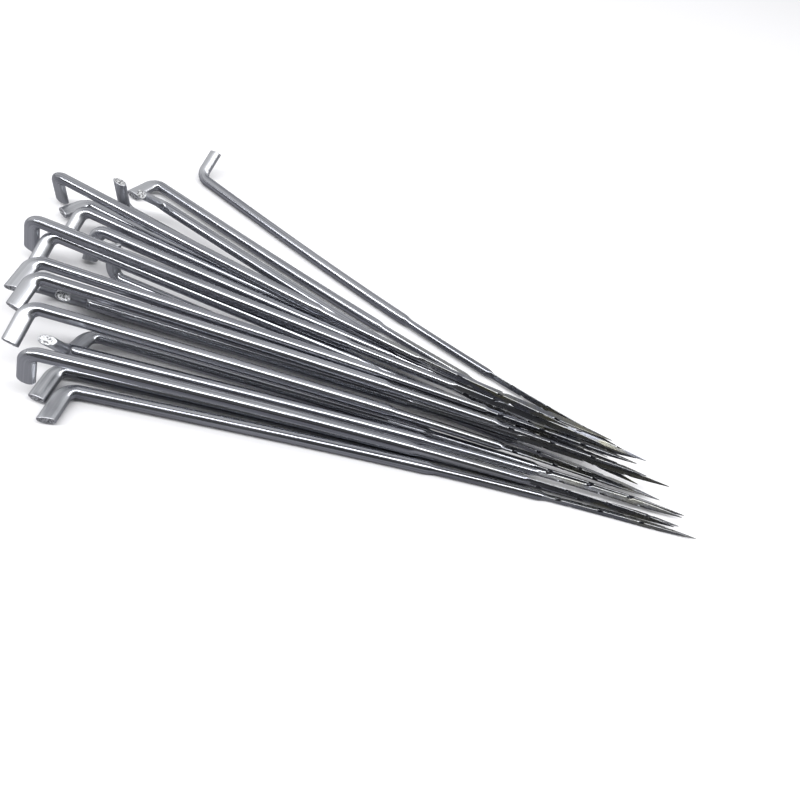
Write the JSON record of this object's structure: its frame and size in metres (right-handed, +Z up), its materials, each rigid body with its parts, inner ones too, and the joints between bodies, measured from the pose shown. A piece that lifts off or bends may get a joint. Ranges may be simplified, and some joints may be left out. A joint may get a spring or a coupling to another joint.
{
  "type": "felting needle pile",
  "caption": "Loose fan of straight steel felting needles, each with a cranked head, a stepped round shank, a three-sided barbed blade and a sharp point.",
  "frame": {"origin": "on the surface that the pile lies on, under the middle of its box", "axes": "+X from the cranked heads towards the points, +Z up"},
  "size_m": [0.111, 0.065, 0.0093],
  "materials": {
    "steel_wire": "bright drawn and polished steel wire"
  },
  "bodies": {
    "needle_01": {"needle_01": "steel_wire"},
    "needle_02": {"needle_02": "steel_wire"},
    "needle_03": {"needle_03": "steel_wire"},
    "needle_04": {"needle_04": "steel_wire"},
    "needle_05": {"needle_05": "steel_wire"},
    "needle_06": {"needle_06": "steel_wire"},
    "needle_07": {"needle_07": "steel_wire"},
    "needle_08": {"needle_08": "steel_wire"},
    "needle_09": {"needle_09": "steel_wire"},
    "needle_10": {"needle_10": "steel_wire"},
    "needle_11": {"needle_11": "steel_wire"},
    "needle_12": {"needle_12": "steel_wire"},
    "needle_13": {"needle_13": "steel_wire"},
    "needle_14": {"needle_14": "steel_wire"},
    "needle_15": {"needle_15": "steel_wire"},
    "needle_16": {"needle_16": "steel_wire"},
    "needle_17": {"needle_17": "steel_wire"},
    "needle_18": {"needle_18": "steel_wire"},
    "needle_19": {"needle_19": "steel_wire"},
    "needle_20": {"needle_20": "steel_wire"},
    "needle_21": {"needle_21": "steel_wire"}
  },
  "joints": [
    {"name": "lift_02", "type": "slide", "parent": "needle_01", "child": "needle_02", "axis": [0, 0, 1], "range_m": [0, 0.012]},
    {"name": "lift_03", "type": "slide", "parent": "needle_02", "child": "needle_03", "axis": [0, 0, 1], "range_m": [0, 0.012]},
    {"name": "lift_04", "type": "slide", "parent": "needle_03", "child": "needle_04", "axis": [0, 0, 1], "range_m": [0, 0.012]},
    {"name": "lift_05", "type": "slide", "parent": "needle_04", "child": "needle_05", "axis": [0, 0, 1], "range_m": [0, 0.012]},
    {"name": "lift_06", "type": "slide", "parent": "needle_05", "child": "needle_06", "axis": [0, 0, 1], "range_m": [0, 0.012]},
    {"name": "lift_07", "type": "slide", "parent": "needle_06", "child": "needle_07", "axis": [0, 0, 1], "range_m": [0, 0.012]},
    {"name": "lift_08", "type": "slide", "parent": "needle_07", "child": "needle_08", "axis": [0, 0, 1], "range_m": [0, 0.012]},
    {"name": "lift_09", "type": "slide", "parent": "needle_08", "child": "needle_09", "axis": [0, 0, 1], "range_m": [0, 0.012]},
    {"name": "lift_10", "type": "slide", "parent": "needle_09", "child": "needle_10", "axis": [0, 0, 1], "range_m": [0, 0.012]},
    {"name": "lift_11", "type": "slide", "parent": "needle_10", "child": "needle_11", "axis": [0, 0, 1], "range_m": [0, 0.012]},
    {"name": "lift_12", "type": "slide", "parent": "needle_11", "child": "needle_12", "axis": [0, 0, 1], "range_m": [0, 0.012]},
    {"name": "lift_13", "type": "slide", "parent": "needle_12", "child": "needle_13", "axis": [0, 0, 1], "range_m": [0, 0.012]},
    {"name": "lift_14", "type": "slide", "parent": "needle_13", "child": "needle_14", "axis": [0, 0, 1], "range_m": [0, 0.012]},
    {"name": "lift_15", "type": "slide", "parent": "needle_14", "child": "needle_15", "axis": [0, 0, 1], "range_m": [0, 0.012]},
    {"name": "lift_16", "type": "slide", "parent": "needle_15", "child": "needle_16", "axis": [0, 0, 1], "range_m": [0, 0.012]},
    {"name": "lift_17", "type": "slide", "parent": "needle_16", "child": "needle_17", "axis": [0, 0, 1], "range_m": [0, 0.012]},
    {"name": "lift_18", "type": "slide", "parent": "needle_17", "child": "needle_18", "axis": [0, 0, 1], "range_m": [0, 0.012]},
    {"name": "lift_19", "type": "slide", "parent": "needle_18", "child": "needle_19", "axis": [0, 0, 1], "range_m": [0, 0.012]},
    {"name": "lift_20", "type": "slide", "parent": "needle_19", "child": "needle_20", "axis": [0, 0, 1], "range_m": [0, 0.012]},
    {"name": "lift_21", "type": "slide", "parent": "needle_20", "child": "needle_21", "axis": [0, 0, 1], "range_m": [0, 0.012]}
  ]
}
